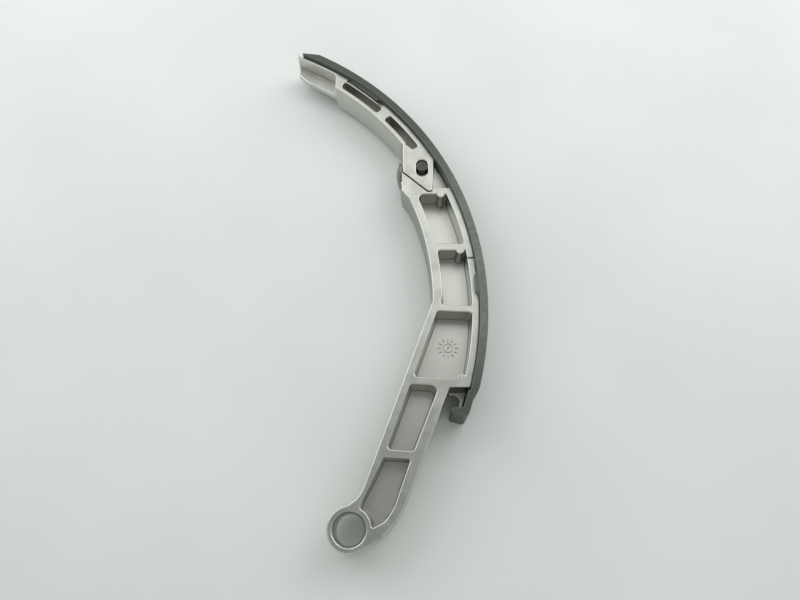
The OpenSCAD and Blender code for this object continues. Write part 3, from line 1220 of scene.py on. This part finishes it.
@dataclass(frozen=True)
class Softbox:
    """A square soft light.

    Attributes:
        name: The name of the light.
        place: Where it hangs, in metres.
        watts: Its power.
        size: Its side, in metres.
    """

    name: str
    place: Place
    watts: float
    size: float = 0.6

    def build(self, aim: Place) -> None:
        """Hang the light so that it faces a point.

        Args:
            aim: The point, in metres.
        """
        lamp = bpy.data.lights.new(self.name, "AREA")
        lamp.shape = "SQUARE"
        lamp.size = self.size
        lamp.energy = self.watts
        obj = link(bpy.data.objects.new(self.name, lamp))
        obj.location = self.place
        toward = Vector(aim) - Vector(self.place)
        obj.rotation_euler = toward.to_track_quat("-Z", "Y").to_euler()


@dataclass
class Studio:
    """A pale table, soft light and the camera of the photograph, with places in metres."""

    floor_z: float = -0.013
    floor_size: float = 6.0
    lens_mm: float = 27.0
    sensor_mm: float = 36.0
    tilt_deg: float = 22.5
    camera_at: Place = (0.02592, -0.0089, 0.33514)
    camera_near: float = 0.01
    # Walls, coving, ceiling and the part of the ceiling right above, by their height in the room
    room: Steps = ((0.0, "#d2d6d3"), (0.5, "#aeb2ae"), (0.93, "#aeb2ae"), (0.985, "#727672"))
    softboxes: tuple[Softbox, ...] = (
        Softbox("right_softbox", (0.55, 0.5, 0.45), 1.6),
        Softbox("left_softbox", (-0.5, 0.5, 0.45), 1.7),
        Softbox("back_softbox", (0.1, 0.55, 0.5), 0.7),
    )
    aim: Place = (0.03, 0.16, 0.0)

    def build(self) -> None:
        """Build the floor, the light and the camera."""
        self._floor()
        self._sky()
        for softbox in self.softboxes:
            softbox.build(self.aim)
        self._camera()

    def _floor(self) -> None:
        """Lay the table under the part."""
        half = self.floor_size / 2
        mesh = bpy.data.meshes.new("table")
        corners = [(-half, -half), (half, -half), (half, half), (-half, half)]
        mesh.from_pydata([(x, y, self.floor_z) for x, y in corners], [], [(0, 1, 2, 3)])
        mesh.materials.append(MattPaper().material())
        link(bpy.data.objects.new("table", mesh))

    def _sky(self) -> None:
        """Light the room from pale walls and a ceiling that is darkest right above the part."""
        world = bpy.data.worlds.new("soft_room")
        bpy.context.scene.world = world
        world.use_nodes = True
        tree = world.node_tree
        tree.nodes.clear()
        toward = add_node(tree, "ShaderNodeTexCoord").outputs["Generated"]
        height = add_node(tree, "ShaderNodeSeparateXYZ", links={"Vector": toward}).outputs["Z"]
        tone = add_node(tree, "ShaderNodeValToRGB", links={"Fac": height})
        colour_steps(tone, self.room)
        light = add_node(tree, "ShaderNodeBackground", links={"Color": tone.outputs["Color"]})
        add_node(tree, "ShaderNodeOutputWorld", links={"Surface": light.outputs["Background"]})

    def _camera(self) -> None:
        """Set the camera at the photograph's angle."""
        data = bpy.data.cameras.new("photo_camera")
        data.lens = self.lens_mm
        data.sensor_width = self.sensor_mm
        data.clip_start = self.camera_near
        obj = link(bpy.data.objects.new("photo_camera", data))
        obj.location = self.camera_at
        obj.rotation_euler = (math.radians(self.tilt_deg), 0.0, 0.0)
        bpy.context.scene.camera = obj


def main() -> None:
    """Build the guide piece by piece, then the studio around it."""
    logging.basicConfig(level=logging.INFO, format="%(message)s")
    bpy.context.scene.view_settings.view_transform = "Standard"
    casting = TumbledCastAluminium()
    aluminium = casting.material()
    # The upper arm's copy: walls painted paler as painted light, pocket floors lightened less
    paler_walls = replace(
        casting, name="tumbled_cast_aluminium_upper", floor_light_tone="#bebfb8", wall_light_tone="#cecfc8",
        pocket_wall_tone="#cecfc8",
    ).material()
    # The dial's copy: its sides painted darker as painted shade, its tops a little darker than the pocket
    # floor
    dial_shade = replace(
        casting, name="tumbled_cast_aluminium_dial", floor_light_tone="#c2c4bd", wall_light_tone="#9a9c96",
    ).material()
    nylon = MouldedNylon().material()
    blackened = BlackenedSteel()
    steel = blackened.material()
    # A darker copy of the blackened steel, for the hinge pin
    darker_steel = replace(
        blackened, name="darker_blackened_steel", skin=((0.35, "#4a4c4a"), (0.7, "#646664")), rubbed="#8a8d89",
    ).material()
    hinge = hinge_place() / MM
    hinge_cut = Cut(hinge.x, hinge.y)
    pieces = [
        (CastArm("lower_arm", Body.LOWER, (*LOWER_CUTS, hinge_cut)), aluminium),
        (CastArm("upper_arm", Body.UPPER, (*UPPER_CUTS, hinge_cut)), paler_walls),
        (SlideShoe(), nylon),
        (SteelPiece("hinge_pin", "hinge_pin_rod"), darker_steel),
        (SteelPiece("thrust_button", "thrust_button_head"), steel),
        (DateDial(), dial_shade),
        (EjectorMark("ejector_mark_slot", Body.UPPER, 12.0, 266.5, FLOOR_MM), paler_walls),
        (EjectorMark("ejector_mark_pocket", Body.LOWER, 44.5, 70.5, FLOOR_MM), aluminium),
        (EjectorMark("ejector_mark_shoulder", Body.LOWER, 34.2, 199.5, FACE_MM, radius_mm=1.6), aluminium),
    ]
    for piece, finish in pieces:
        obj = piece.build()
        piece.dress(finish)
        LOG.info("%s: %d faces in %s", obj.name, len(obj.data.polygons), finish.name)
    Studio().build()


if __name__ == "__main__":
    main()
